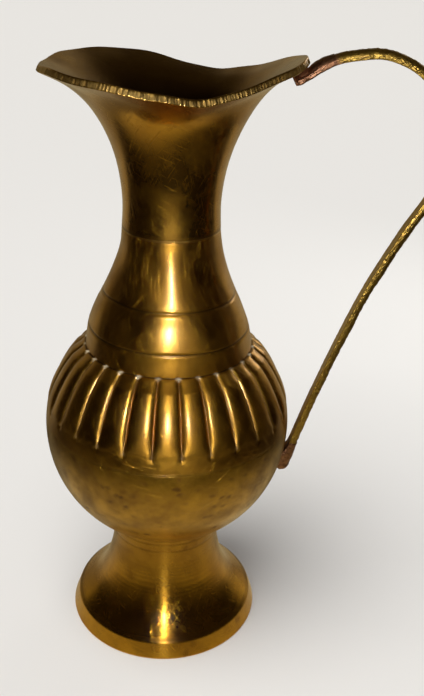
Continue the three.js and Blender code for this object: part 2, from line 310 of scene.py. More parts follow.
# Brass in its states. Polished brass mirrors its surroundings in gold; tarnish browns the mirror, turning
# leaves fine rings, wear leaves hairlines, and the casting's skin is grainy.
def brass(name, look):
    material, tree = bareMaterial(name)
    coord = add(tree, "ShaderNodeTexCoord").outputs["Object"]
    centred = add(tree, "ShaderNodeMapping", {"Location": (-axisX * mm, 0, 0)}, {"Vector": coord}).outputs[0]
    split = add(tree, "ShaderNodeSeparateXYZ", None, {0: centred})
    flat = add(tree, "ShaderNodeCombineXYZ", None, {0: split.outputs[0], 1: split.outputs[1]}).outputs[0]
    away = add(tree, "ShaderNodeVectorMath", None, {0: flat}, operation="LENGTH").outputs["Value"]
    along = add(tree, "ShaderNodeCombineXYZ", None, {0: away, 1: split.outputs[2]}).outputs[0]

    def cloud(size, detail, rough, vector=centred):
        values = {"Scale": 1000 / size, "Detail": detail, "Roughness": rough}
        return add(tree, "ShaderNodeTexNoise", values, {"Vector": vector}).outputs["Fac"]

    def mark(key):
        return add(tree, "ShaderNodeAttribute", attribute_name=key).outputs["Fac"]

    patina = ranged(tree, cloud(look["patinaSize"], 6, 0.62), *wear["tarnishBand"])
    smears = ranged(tree, cloud(wear["smearSize"], 3, 0.5), *wear["smearBand"])
    rings = cloud(look["ringPitch"], 2, 0.55, vector=along)
    grain = cloud(look["grainSize"], 3, 0.6)
    # Wear finer than the eye resolves: specks left dull among polished ones give the glow its wide skirt.
    specks = ranged(tree, cloud(wear["dullSize"], 1, 0.5), *wear["dullBand"])
    patches = ranged(tree, cloud(wear["patchSize"], 4, 0.6), *wear["patchBand"], *wear["patchShare"])
    dull = maths(tree, "MULTIPLY", specks, patches)
    # Hairlines: noise on the skin's own two directions, drawn out forty times one way, its thin peaks kept.
    around = maths(tree, "ARCTAN2", split.outputs[1], split.outputs[0])
    girth = scaled(tree, around, wear["hairGirth"] * bowlRadius * mm)
    skin = add(tree, "ShaderNodeCombineXYZ", None, {0: girth, 1: scaled(tree, mark("arc"), mm)}).outputs[0]
    hairs = []
    for size, tilt, low in wear["hairs"]:
        values = {"Rotation": (0, 0, tilt), "Scale": (1, wear["hairDrawn"], 1)}
        drawn = add(tree, "ShaderNodeMapping", values, {"Vector": skin}, vector_type="TEXTURE").outputs[0]
        hairs.append(ranged(tree, cloud(size, 1, 0.4, vector=drawn), low, low + wear["hairFade"]))
    hair = summed(tree, hairs)
    # Stains: flattened cells, swayed and frayed by noise, and only in some zones.
    squash = {"Scale": (1, 1, wear["spotSquash"])}
    flattened = add(tree, "ShaderNodeMapping", squash, {"Vector": centred}).outputs[0]
    values = {"Scale": 1000 / wear["swaySize"], "Detail": 3}
    swaying = add(tree, "ShaderNodeTexNoise", values, {"Vector": centred}).outputs["Color"]
    by = {3: wear["sway"] * mm}
    sway = add(tree, "ShaderNodeVectorMath", by, {0: swaying}, operation="SCALE").outputs[0]
    place = add(tree, "ShaderNodeVectorMath", None, {0: flattened, 1: sway}, operation="ADD").outputs[0]
    cells = add(tree, "ShaderNodeTexVoronoi", {"Scale": 1000 / look["spotSpacing"]}, {"Vector": place})
    fringe = scaled(tree, cloud(wear["fringeSize"], 4, 0.7), wear["fringe"])
    spots = ranged(tree, maths(tree, "ADD", cells.outputs["Distance"], fringe), *wear["spotBand"])
    zones = ranged(tree, cloud(wear["zoneSize"], 3, 0.6), *wear["zoneBand"])
    spots = scaled(tree, maths(tree, "MULTIPLY", spots, zones), look["spots"])
    pits = ranged(tree, grain, *wear["pitBand"], 0, look["pits"])
    grimeAndShade, filed, copper, chalk = mark("grimeAndShade"), mark("filed"), mark("copper"), mark("chalk")

    # The dark mark laid in below is real dirt and soot in places and painted shade in others: deep in the
    # throat, under the bowl and at the lip's two ends.
    colour = look["colour"]
    for factor, over in (
            (scaled(tree, patina, look["patina"]), look["tarnish"]), (spots, look["spotColour"]),
            (pits, look["spotColour"]), (scaled(tree, grimeAndShade, look["grimeAndShade"]), wear["grimeAndShadeColour"]),
            (copper, wear["copperColour"]), (filed, wear["filedColour"]), (chalk, wear["chalkColour"])):
        colour = blendColour(tree, factor, colour, over)

    parts = [ranged(tree, smears, 0, 1, *look["rough"])]
    for socket, by in (
            (dull, look["dull"]), (patina, wear["tarnishRough"]), (hair, look["hairRough"]),
            (spots, wear["spotRough"]), (grimeAndShade, wear["grimeAndShadeRough"]), (filed, look["filedRough"]),
            (copper, wear["copperRough"])):
        parts.append(scaled(tree, socket, by))
    rough = summed(tree, parts)
    metal = ranged(tree, chalk, 0, 1, 1, wear["chalkMetal"])

    normal = None
    for height, depth in (
            (rings, look["ringDepth"]), (hair, -look["hairDepth"]), (grain, look["grainDepth"]),
            (spots, -wear["spotDepth"]), (patina, look["patinaDepth"])):
        links = {"Height": height, **({"Normal": normal} if normal else {})}
        values = {"Strength": 1, "Distance": abs(depth) * mm}
        normal = add(tree, "ShaderNodeBump", values, links, invert=depth < 0).outputs[0]
    values = {"Anisotropic": look["anisotropy"], "Anisotropic Rotation": 0.25,
              "Coat Weight": look["lacquer"], "Coat Roughness": wear["lacquerRough"]}
    shader = add(tree, "ShaderNodeBsdfPrincipled", values,
                 {"Base Color": colour, "Roughness": rough, "Metallic": metal, "Normal": normal})
    add(tree, "ShaderNodeOutputMaterial", None, {"Surface": shader.outputs[0]})
    return material


turnedLook = {
    "colour": "#c7922b", "tarnish": "#9a651a", "patina": 0.5, "patinaSize": 9, "patinaDepth": 0.01,
    "spotColour": "#6b3f18", "spotSpacing": 6, "spots": 0.1, "pits": 0.0, "grimeAndShade": 0.8,
    "ringPitch": 0.7, "ringDepth": 0.003, "hairDepth": 0.012, "hairRough": 0.06,
    "grainSize": 0.5, "grainDepth": 0.003, "rough": (0.1, 0.16), "dull": 0.18, "filedRough": 0.2,
    "anisotropy": 0.1, "lacquer": 0.35,
}
turnedBrass = brass("polished turned brass, worn", turnedLook)
shoulderBrass = brass("polished brass, rubbed dull in places", {
    **turnedLook, "hairDepth": 0.025, "grainDepth": 0.006, "rough": (0.15, 0.2), "dull": 0.38,
    "filedRough": 0.32, "anisotropy": 0.6})
bowlBrass = brass("turned brass with brown stains", {
    **turnedLook, "colour": "#c9982e", "tarnish": "#96691a", "patina": 0.85, "patinaSize": 6,
    "spotColour": "#6e4517", "spotSpacing": 3.6, "spots": 0.8, "hairDepth": 0.036, "hairRough": 0.08,
    "grainDepth": 0.005, "rough": (0.15, 0.22), "dull": 0.4, "anisotropy": 0.5})
footBrass = brass("turned brass, tool rings left", {
    **turnedLook, "spots": 0.3, "ringPitch": 0.5, "ringDepth": 0.004, "hairDepth": 0.008, "hairRough": 0.03,
    "rough": (0.12, 0.16), "dull": 0.08, "anisotropy": 0.96, "lacquer": 0.15})
castLook = {
    **turnedLook, "patinaDepth": 0.03, "pits": 0.7, "ringDepth": 0.0, "hairDepth": 0.0, "grainDepth": 0.1,
    "dull": 0.0, "anisotropy": 0.0, "lacquer": 0.1,
}
castBrass = brass("cast brass with its skin", {
    **castLook, "colour": "#cba245", "tarnish": "#7f6428", "patinaSize": 3, "spots": 0.3,
    "rough": (0.36, 0.46)})
seamBrass = brass("pale brazing brass, turned flush", {
    **turnedLook, "colour": "#d2a348", "tarnish": "#a3742c", "rough": (0.2, 0.3)})
copperBraze = brass("copper-coloured braze, as run", {
    **castLook, "colour": "#ab7a52", "tarnish": "#683f28", "patina": 0.8, "patinaSize": 1.8,
    "spotColour": "#4a2a18", "spotSpacing": 2.5, "spots": 0.6, "rough": (0.4, 0.5)})


def finish(piece, material, slotName, *nodes):
    piece.data.materials.append(material)
    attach(piece, "root")
    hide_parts(*nodes)
    return piece


# ---------- foot ----------
foot = {
    "bandHeight": 4.6, "bandInset": 1.6, "stem": 15.2, "flare": 0.4, "wall": 2.0, "edgeInset": 0.6,
    "bell": ((0.5, 0.18), (0.21, 0.38), (0.04, 0.61), (0, 0.79)),  # shares of the spread and of the rise
    "rounds": (0.35, 0.25, 0.15, 0.15, 0.3, 0.4, 0.5), "columns": 224, "flareRows": 150,
    "uneven": 0.04, "unevenFrom": (10, 14),
    "toolDepth": 0.004, "toolRate": 5.2, "toolSway": 1.4, "swayRate": 0.9,
    "toolRise": (5.5, 7), "toolFade": (26, 30),
    "stemLines": (1.9, 4.4), "lineHalf": 0.45, "lineDepth": 0.07, "lineGrime": 0.2,
    "stemShade": 0.3, "stemRun": (14, 25), "seatShade": 0.7, "seatRun": 1.0,
    "bandGrime": 0.55, "bandLine": 0.5,
    "brazeLegs": (1.8, 1.3), "brazeColumns": 160, "brazeRough": 0.12,
}


# Foot: a bevelled band, a bell-shaped flare up to the stem, a seat under the bowl, and the hollow inside.
def buildFoot():
    bandTop = footRadius - foot["bandInset"]
    spread = bandTop - foot["stem"]
    rise = footHeight + body["seatGap"] - foot["bandHeight"]
    points = [(bandTop, foot["bandHeight"])]
    points += [(foot["stem"] + u * spread, foot["bandHeight"] + v * rise) for u, v in foot["bell"]]
    flare = curveThrough(points + [(foot["stem"] + foot["flare"], footHeight)], 160)
    r = np.linspace(foot["stem"] + foot["flare"], boreRadius, 20)
    seat = np.stack([r, bowlMiddle - bowlDepth(r) - body["seatGap"]], -1)
    seat[0] = flare[-1]
    hollow = offsetLine(flare, foot["wall"])
    hollow = hollow[hollow[:, 1] < deckUnder - 1][::-1]
    deckEdge = (hollow[0, 0], deckUnder)
    bottomInner = footRadius - foot["wall"] - foot["edgeInset"]
    profile, starts = joinProfile([
        ([(footRadius, 0), (bandTop, foot["bandHeight"])], 10), (flare, foot["flareRows"]), (seat, 6),
        ([seat[-1], (boreRadius, deckUnder)], 3), ([(boreRadius, deckUnder), deckEdge], 4),
        (np.vstack([[deckEdge], hollow, [(bottomInner, 0)]]), 26),
        ([(bottomInner, 0), (footRadius, 0)], 4)], foot["rounds"])
    angle = ringAngles(foot["columns"])
    r, z = profile[:, :1], profile[:, 1:2]
    inside = (np.arange(len(profile)) > starts[2] + 2)[:, None]  # from the seat's edge inwards
    wobble = handWork(angle, z, foot["uneven"]) * step(r, *foot["unevenFrom"])
    # Tool rings: shallow steps of uneven width down the flare.
    rings = foot["toolDepth"] * np.sin(z * foot["toolRate"] + foot["toolSway"] * np.sin(z * foot["swayRate"]))
    rings = rings * step(z, *foot["toolRise"]) * (1 - step(z, *foot["toolFade"]))
    vees = sum(np.clip(1 - np.abs(footHeight - z - at) / foot["lineHalf"], 0, 1) for at in foot["stemLines"])
    # Painted shade: the stem darkens upwards towards the bowl, and most at the seat right under it. Dirt lies
    # in the turned lines, and a darker line runs just over the band.
    grimeAndShade = foot["stemShade"] * step(z, *foot["stemRun"])
    grimeAndShade = grimeAndShade + foot["seatShade"] * step(z, footHeight - foot["seatRun"], footHeight)
    overBand = (z - foot["bandHeight"]) / foot["bandLine"]
    grimeAndShade = grimeAndShade + foot["bandGrime"] * np.exp(-(overBand - 1) ** 2)
    grimeAndShade = np.clip(grimeAndShade + foot["lineGrime"] * vees * ~inside, 0, 1)
    rows = turn(r + np.where(inside, 0, wobble + rings - foot["lineDepth"] * vees), z, angle)
    return gridMesh("foot_shell", rows, loopRows=True, marks={"grimeAndShade": grimeAndShade})


# A ring of filler turned from a small closed section, with an uneven surface.
def brazeRing(name, section, columns, depth):
    sides = [([corner, following], 4) for corner, following in zip(section, section[1:] + section[:1])]
    profile = joinProfile(sides, [0.06] * len(section))[0]
    angle = ringAngles(columns)
    u, v = np.broadcast_arrays(angle / (2 * math.pi), np.linspace(0, 1, len(profile))[:, None])
    r = profile[:, :1] + depth * lumps(u, v, 90, 3)
    return gridMesh(name, turn(r, profile[:, 1:2], angle), loopRows=True)


print("foot")
finish(buildFoot(), footBrass, "turned_brass", "foot")
legWide, legHigh = foot["brazeLegs"]
section = [(boreRadius, deckUnder - legHigh), (boreRadius + legWide, deckUnder), (boreRadius, deckUnder)]
finish(brazeRing("foot_braze_ring", section, foot["brazeColumns"], foot["brazeRough"]), copperBraze,
       "braze", "foot_braze")

# ---------- handle path: it also places the braze ----------
handle = {
    "wide": 4.4, "thick": 2.6, "side": 0.3, "reach": 66.8, "crown": 2.8, "tuck": 3.3, "tuckSlope": 0.52,
    "lipGap": 1.0, "endDrop": 12.8, "bellyGap": 0.5, "bendShare": 0.808,
    # Shares of the way out and down: over the arch, round the bend, and down to the belly.
    "arch": ((0.127, 0.4), (0.31, 0.05), (0.51, 0)), "bend": ((0.735, 0.16), (0.925, 0.52), (1, 1)),
    "fall": ((0.905, 0.884), (0.73, 0.76), (0.495, 0.566), (0.252, 0.306), (0.075, 0.088)),
    "steps": 900, "shy": 0.26, "grain": 0.08, "swelling": 0.1, "flatSkin": 0.35,
    "endLoss": 0.12, "endRun": 0.5,
    "copperUpper": (9.5, 12.5), "copperLower": (9, 4), "copper": 1.3, "patchy": 0.35,
    "grimeAndShade": 0.7, "grimeRun": (12, 7),
}
lip = {
    "edge": 29.4, "height": 37.0, "waveStart": 0.42, "columns": 840, "waist": 0.2,
    "waveRadius": (-2.1, 2.0, 2.05), "waveHeight": (0.1, 2.1, 1.55),
    "bell": ((0.035, 0.37), (0.135, 0.55), (0.28, 0.71), (0.455, 0.835), (0.69, 0.93)),
    "outerRows": 46, "innerRows": 30, "rounds": (0.22, 0.22, 0.08, 0.08, 0.08, 0.12),
    "edgeRows": 3.2, "filing": 0.19, "drawn": (0.12, 0.8, 0.08), "uneven": (0.14, 0.1), "wobble": (0.05, 0.1),
    "throatShade": (146, 160, 7), "edgeDirtAndShade": (0.35, 0.65), "strokeBand": (-0.05, 0.3), "seamGrime": 0.8,
}
lipEdge = neckSeam + lip["height"]


# Sum of cosines once, twice and three times round.
def wave(weights, angle):
    return sum(w * np.cos((k + 1) * angle) for k, w in enumerate(weights))


# Middle line of the strap in the plane y = 0: from under the lip, over the arch, down to the belly.
def handleLine(count):
    overX = lip["edge"] + wave(lip["waveRadius"], 0.0)
    overZ = lipEdge + wave(lip["waveHeight"], 0.0)
    startX, startZ = overX, overZ - handle["lipGap"] - handle["thick"] / 2
    behind = bowlRadius * math.sqrt(1 - (handle["endDrop"] / body["drop"]) ** 2)
    endX, endZ = behind + handle["bellyGap"] + handle["thick"] / 2, bowlMiddle - handle["endDrop"]
    top = overZ + handle["crown"]
    bend = endZ + handle["bendShare"] * (top - endZ)
    out, back = handle["reach"] - startX, handle["reach"] - endX
    points = [(startX - handle["tuck"], startZ - handle["tuckSlope"] * handle["tuck"])]
    points += [(startX + u * out, top - v * (top - startZ)) for u, v in handle["arch"]]
    points += [(startX + u * out, top - v * (top - bend)) for u, v in handle["bend"]]
    points += [(endX + u * back, endZ + v * (bend - endZ)) for u, v in handle["fall"]]
    points.append((endX, endZ))
    line = curveThrough(points, 1500)
    run = lengthsOf(line)
    s = np.linspace(0, run[-1], count)
    return pointsAt(line, run, s), s


# D section of the strap, flat side inwards: offsets across the strap and through it, with each point's
# distance from the middle and its share of the way round.
def strapSection():
    half, deep = handle["wide"] / 2, handle["thick"] / 2
    side = handle["side"] * handle["thick"]
    a = np.linspace(0, math.pi, 40)
    crown = np.stack([half * np.cos(a), deep - side - (2 * deep - side) * np.sin(a)], -1)
    section = joinProfile([
        ([(-half, deep), (half, deep)], 9), ([(half, deep), (half, deep - side)], 3), (crown, 24),
        ([(-half, deep - side), (-half, deep)], 3)], [0.4, 0.1, 0.1, 0.4])[0]
    around = np.linspace(0, 1, len(section), endpoint=False)
    return section, np.hypot(section[:, 0], section[:, 1])[None, :], around[None, :]


# The strap's section carried along the middle line: scale sizes it, and lift raises the side of its own sign.
def sweep(line, section, scale, lift=0.0):
    run = np.gradient(line, axis=0)
    run /= np.hypot(run[:, 0], run[:, 1])[:, None]
    across, through = section[:, 0] * scale, section[:, 1] * scale
    through = through + lift * np.sign(through) * (np.sign(through) == np.sign(lift))
    x = line[:, :1] + through * run[:, 1:2]
    z = line[:, 1:2] - through * run[:, :1]
    return np.stack([axisX + x, across, z], -1)


def buildHandle():
    line, s = handleLine(handle["steps"])
    section, size, around = strapSection()
    s = s[:, None]
    length = s[-1, 0]
    down = s / length
    # Cast skin: two sizes of grain and slower swellings, less on the flat side.
    skin = handle["grain"] * (lumps(around, down, 16, 240) + 0.6 * lumps(around, down, 28, 420))
    skin = skin + handle["swelling"] * lumps(around, down, 3, 26) - handle["shy"]
    skin = skin * np.where(section[:, 1] > handle["thick"] / 2 - 0.1, handle["flatSkin"], 1.0)[None, :]
    taper = 1 - handle["endLoss"] * (1 - step(np.minimum(s, length - s), 0, handle["endRun"]))
    rows = sweep(line, section, (1 + skin / size) * taper)
    # Braze stains both ends, in patches. Soot lies over the lower one.
    copperLow, copperFull = handle["copperLower"]
    copper = 1 - step(s, *handle["copperUpper"]) + step(s, length - copperLow, length - copperFull)
    copper = np.clip(copper, 0, 1)
    patches = handle["patchy"] * lumps(around, down, 6, 120) * (copper > 0.02)
    grimeLow, grimeFull = handle["grimeRun"]
    grimeAndShade = handle["grimeAndShade"] * step(s, length - grimeLow, length - grimeFull)
    grimeAndShade = grimeAndShade * (0.5 + 0.5 * lumps(around, down, 5, 90))
    marks = {"copper": np.clip(handle["copper"] * copper + patches, 0, 1), "grimeAndShade": np.clip(grimeAndShade, 0, 1)}
    return gridMesh("handle_strap", rows, start=rows[0].mean(0), end=rows[-1].mean(0), marks=marks)


# ---------- bowl ----------
bowl = {
    "columns": 256, "outerRows": 100, "innerRows": 44, "centre": 0.4,
    "rounds": (0.3, 0.2, 0.08, 0.08, 0.15, 0.15, 0),
    "shy": 0.06, "uneven": 0.05, "unevenRise": (33, 42), "unevenFade": (16, 1),
    "stainHalf": 4.2, "stainHigh": 7.5, "stainRise": 3, "stainBand": (0.5, 1.25), "stainGrime": 0.75,
    "stainCopper": 0.25, "seatShade": (32.6, 34.5),
}


# Bowl: the tenon, the round outside up to the belly's seam, the spigot, and the inside back to the middle.
def buildBowl():
    rim = bellySeam - brazeGap / 2
    a = np.linspace(math.asin(body["tenon"] / bowlRadius), math.pi / 2, 120)
    curve = np.stack([bowlRadius * np.sin(a), bowlMiddle - body["drop"] * np.cos(a)], -1)
    outer = np.vstack([curve, ball(bowlRadius, np.linspace(bowlMiddle, rim, 12)[1:])])
    a = np.linspace(math.pi / 2, math.asin(bowl["centre"] / innerRadius), 60)
    inner = np.stack([innerRadius * np.sin(a), bowlMiddle - (body["drop"] - body["wall"]) * np.cos(a)], -1)
    tenonEnd = deckUnder - body["tenonStick"]
    top = bellySeam + body["spigot"]
    profile, starts = joinProfile([
        ([(bowl["centre"], tenonEnd), (body["tenon"], tenonEnd)], 4),
        ([(body["tenon"], tenonEnd), tuple(outer[0])], 5),
        (outer, bowl["outerRows"]),
        ([tuple(outer[-1]), (bellySpigot, rim)], 3),
        ([(bellySpigot, rim), (bellySpigot, top)], 4),
        ([(bellySpigot, top), (seamInner, top)], 3),
        (np.vstack([[(seamInner, top), (seamInner, bellySeam)], inner]), bowl["innerRows"])],
        bowl["rounds"], loop=False)
    angle = ringAngles(bowl["columns"])
    r, z = profile[:, :1], profile[:, 1:2]
    row = np.arange(len(profile))[:, None]
    outside = (row > starts[1] + 3) & (row < starts[3] - 3)  # from the tenon's side to just under the rim
    fadeFrom, fadeTo = bowl["unevenFade"]
    shape = (bowl["shy"] + handWork(angle, z, bowl["uneven"])) * outside
    shape = shape * step(z, *bowl["unevenRise"]) * (1 - step(z, rim - fadeFrom, rim - fadeTo))
    # Flux stain and soot round the handle's lower end, and painted shade on the bowl's underside just over
    # the foot.
    beside = np.angle(np.exp(1j * angle)) * bowlRadius / bowl["stainHalf"]
    over = (z - bowlMiddle + handle["endDrop"] - bowl["stainRise"]) / bowl["stainHigh"]
    stain = (1 - step(np.hypot(beside, over), *bowl["stainBand"])) * outside
    grimeAndShade = np.clip(bowl["stainGrime"] * stain + (1 - step(z, *bowl["seatShade"])) * outside, 0, 1)
    marks = {"grimeAndShade": grimeAndShade, "copper": bowl["stainCopper"] * stain}
    ends = [(axisX, 0, tenonEnd), (axisX, 0, bowlMiddle - body["drop"] + body["wall"])]
    return gridMesh("bowl_shell", turn(r - shape, z, angle), start=ends[0], end=ends[1], marks=marks)


# ---------- shoulder ----------
flutes = {
    "count": 28, "columns": 14, "depth": 0.8, "crown": 2.7, "footRise": 6.8, "cutHalf": 0.5, "cutDepth": 0.26,
    "nickHalf": 0.9, "nickHigh": 0.5, "nickDepth": 0.3, "fanHalf": 1.25, "fanHigh": 0.95,
    # Runs of height: over the flutes' lower ends, or for topRun from the cone's edge.
    "swellRun": (-0.2, 4.2), "topLoss": 0.35, "topRun": (-1.6, -0.6), "cutRun": (-0.3, 0.7),
    "proud": 0.16, "proudRun": (-0.4, 1.4), "proudFade": (3, 9),
    "dent": 0.28, "dentHalf": 0.55, "dentHigh": 0.7,
    "filed": 0.5, "grimeAndShade": 0.2, "creviceGrime": 0.8, "residue": (0.25, 1.1), "dentChalk": 0.5,
    "cutChalk": 0.12, "chalkHalf": 0.26,
}
cone = {
    "edge": 22.1, "ledgeStep": 1.3, "height": 31.9, "uneven": 0.05, "unevenMiddle": 0.3,
    "lobeTop": ((2.0, -1.35), (0.65, -0.28), (-0.35, -0.2)),  # last points of a lobe, from the cone's edge
    "run": ((0.9, 0.18), (0.7, 0.345), (0.5, 0.47), (0.235, 0.66), (0.06, 0.83)),  # shares of drop and height
    "rounds": (0.3, 0.1, 0.12, 0.12, 0.1, 0.15, 0.15, 0.1, 0.08, 0.08, 0.08), "lobeRows": 50, "coneRows": 84,
}
turnedLines = {
    "rises": (5.6, 15.0), "half": 0.4, "depth": 0.38, "bead": 0.05, "beadAt": 0.62, "beadHalf": 0.22,
}
ledge = bowlMiddle + math.sqrt(bowlRadius ** 2 - (cone["edge"] + cone["ledgeStep"]) ** 2)


# Closed section of the shoulder: up the lobes and the cone, over the spigot and back down inside.
def shoulderProfile(low, coneTop):
    dome = ball(bowlRadius, np.linspace(low, ledge - 2.6, 120))
    top = curveThrough([dome[-1]] + [(cone["edge"] + u, ledge + v) for u, v in cone["lobeTop"]], 40)
    drop = cone["edge"] - neckRadius
    points = [(neckRadius + u * drop, ledge + v * cone["height"]) for u, v in cone["run"]]
    outer = curveThrough([(cone["edge"], ledge)] + points + [(neckRadius, coneTop)], 400)
    spigotTop = neckSeam + body["spigot"]
    inner = offsetLine(outer, body["neckWall"])
    inner = inner[(inner[:, 1] < coneTop - 0.5)][::-1]
    roof = bowlMiddle + math.sqrt(innerRadius ** 2 - (cone["edge"] - body["neckWall"]) ** 2) - 1.2
    rebateTop = bellySeam + body["spigot"] + body["spare"]
    vault = ball(innerRadius, np.linspace(roof, rebateTop, 30))
    bellyBore = bellySpigot + body["slip"]
    spigotInner = neckRadius - body["neckWall"]
    inside = np.vstack([[(spigotInner, spigotTop)], inner, vault, [(bellyBore - 0.4, rebateTop)]])
    undercut = [tuple(top[-1]), (cone["edge"] - 0.3, ledge), (cone["edge"], ledge)]
    return joinProfile([
        (dome, cone["lobeRows"]), (top, 12), (undercut, 5), (outer, cone["coneRows"]),
        ([(neckRadius, coneTop), (neckSpigot, coneTop)], 3),
        ([(neckSpigot, coneTop), (neckSpigot, spigotTop)], 3),
        ([(neckSpigot, spigotTop), (spigotInner, spigotTop)], 3), (inside, 26),
        ([(bellyBore - 0.4, rebateTop), (bellyBore, rebateTop)], 2),
        ([(bellyBore, rebateTop), (bellyBore, low)], 3), ([(bellyBore, low), tuple(dome[0])], 3)],
        cone["rounds"])


# Shoulder: round lobes from the belly up to the cone's edge, with V cuts between them, then the cone.
def buildShoulder():
    coneTop = neckSeam - brazeGap
    profile, starts = shoulderProfile(bellySeam + brazeGap / 2, coneTop)
    # Columns crowd towards the cuts: the place across a lobe is a sine of its step.
    t = np.sin(np.linspace(-1, 1, flutes["columns"], endpoint=False) * math.pi / 2)
    lobe = np.arange(flutes["count"])[:, None]
    angle = ((lobe + (t + 1) / 2) * 2 * math.pi / flutes["count"]).reshape(-1)
    across = np.tile(t, flutes["count"])[None, :]
    r, z = profile[:, :1], profile[:, 1:2]
    row = np.arange(len(profile))[:, None]
    lobeEnd = starts[2] + 3  # the rows of the lobes and of their tuck under the cone's edge
    lobes = row < lobeEnd
    fluted = lobes & (r > cone["edge"] - 1)
    above = z - bowlMiddle - flutes["footRise"]  # height over the flutes' lower ends
    fade = step(above, *flutes["swellRun"]) * (1 - flutes["topLoss"] * step(z - ledge, *flutes["topRun"]))
    toCut = (1 - np.abs(across)) * r * math.pi / flutes["count"]  # distance to the nearest cut
    cutFade = step(above, *flutes["cutRun"])
    # Each cut fans out to a small triangle where it meets the cone's edge.
    fan = np.clip(1 - (ledge - z) / flutes["fanHigh"], 0, 1) * flutes["fanHalf"]
    cut = np.clip(1 - toCut / np.maximum(flutes["cutHalf"], fan), 0, 1) * cutFade
    proud = flutes["proud"] * step(above, *flutes["proudRun"]) * (1 - step(above, *flutes["proudFade"]))
    dent = np.exp(-(toCut / flutes["dentHalf"]) ** 2 - (above / flutes["dentHigh"]) ** 2)
    sink = flutes["depth"] * np.abs(across) ** flutes["crown"] * fade + flutes["cutDepth"] * cut
    sink = sink + flutes["dent"] * dent - proud
    radius = r - np.where(fluted & (z < ledge - 0.3), sink, 0)
    # Nicks filed up into the cone's edge, one over each cut.
    rise = np.clip(z - ledge, 0, None)
    bite = np.clip(1 - toCut / flutes["nickHalf"] - rise / flutes["nickHigh"], 0, 1)
    nearEdge = (row >= lobeEnd - 6) & (row < lobeEnd + 20) & (z >= ledge - 0.12) & (r > cone["edge"] - 1.2)
    radius = radius - np.where(nearEdge, flutes["nickDepth"] * bite, 0)
    # Turned lines: a V with a slight bead thrown up on either side.
    onCone = (row >= lobeEnd) & (row < starts[4] - 4) & (r > neckRadius - 0.3)
    lineMark = np.zeros_like(z)
    for riseAt in turnedLines["rises"]:
        d = np.abs(z - ledge - riseAt)
        vee = np.clip(1 - d / turnedLines["half"], 0, 1)
        bead = np.exp(-((d - turnedLines["beadAt"]) / turnedLines["beadHalf"]) ** 2)
        radius = radius - np.where(onCone, turnedLines["depth"] * vee - turnedLines["bead"] * bead, 0)
        lineMark = lineMark + vee
    calm = step(z, ledge + 0.5, ledge + 4) * (1 - step(z, coneTop - 5, coneTop))
    wobble = handWork(angle, z, 1.0) * (cone["uneven"] + cone["unevenMiddle"] * calm) * onCone
    # The cuts' walls are left as filed. Dried polish stays in their bottoms, ends and upper fans.
    crevice = np.exp(-((z - ledge + 0.15) / 0.2) ** 2) * lobes * (r < cone["edge"] + 0.2)
    grimeAndShade = flutes["creviceGrime"] * crevice + lineMark * onCone
    grimeAndShade = np.clip(grimeAndShade + flutes["grimeAndShade"] * across ** 4 * fade * fluted, 0, 1)
    filed = flutes["filed"] * cut * (toCut > 0.1) * fluted
    residue = rng.uniform(*flutes["residue"], flutes["count"])  # how much each cut's end holds
    patchy = residue[np.round(angle * flutes["count"] / (2 * math.pi)).astype(int) % flutes["count"]]
    inFan = np.clip(1.4 - 1.4 * toCut / np.maximum(fan, 0.01), 0, 1) * (fan > 0.1)
    chalk = inFan * (z < ledge + 0.2) * (row < lobeEnd + 2) * patchy
    chalk = chalk + flutes["dentChalk"] * patchy * dent * cutFade * fluted
    chalk = chalk + flutes["cutChalk"] * np.clip(1 - toCut / flutes["chalkHalf"], 0, 1) * cutFade * fluted
    marks = {"grimeAndShade": grimeAndShade, "filed": filed, "chalk": np.clip(chalk, 0, 1)}
    return gridMesh("shoulder_shell", turn(radius + wobble, z, angle), loopRows=True, marks=marks)


